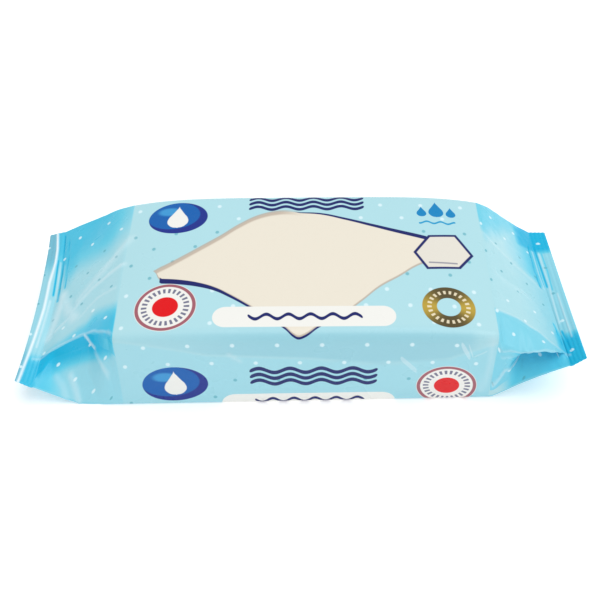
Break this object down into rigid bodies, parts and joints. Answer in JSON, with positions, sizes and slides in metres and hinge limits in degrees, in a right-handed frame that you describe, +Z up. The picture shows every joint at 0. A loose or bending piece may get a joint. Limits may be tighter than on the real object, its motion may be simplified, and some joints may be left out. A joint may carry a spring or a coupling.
{
  "type": "wet wipes pack",
  "caption": "Sealed flow-wrapped pack of wet wipes lying flat: printed film round a folded stack, with crimped end seals, tucked sides and a lap seam underneath.",
  "frame": {"origin": "middle of the pack's overall length and width, on the surface that it lies on", "axes": "+Z up, +X along the pack towards its right seal, the long front side faces -Y"},
  "size_m": [0.2894, 0.1084, 0.0533],
  "materials": {
    "film": "gloss"
  },
  "bodies": {
    "root": {"wipes_pack": "film"}
  },
  "joints": []
}
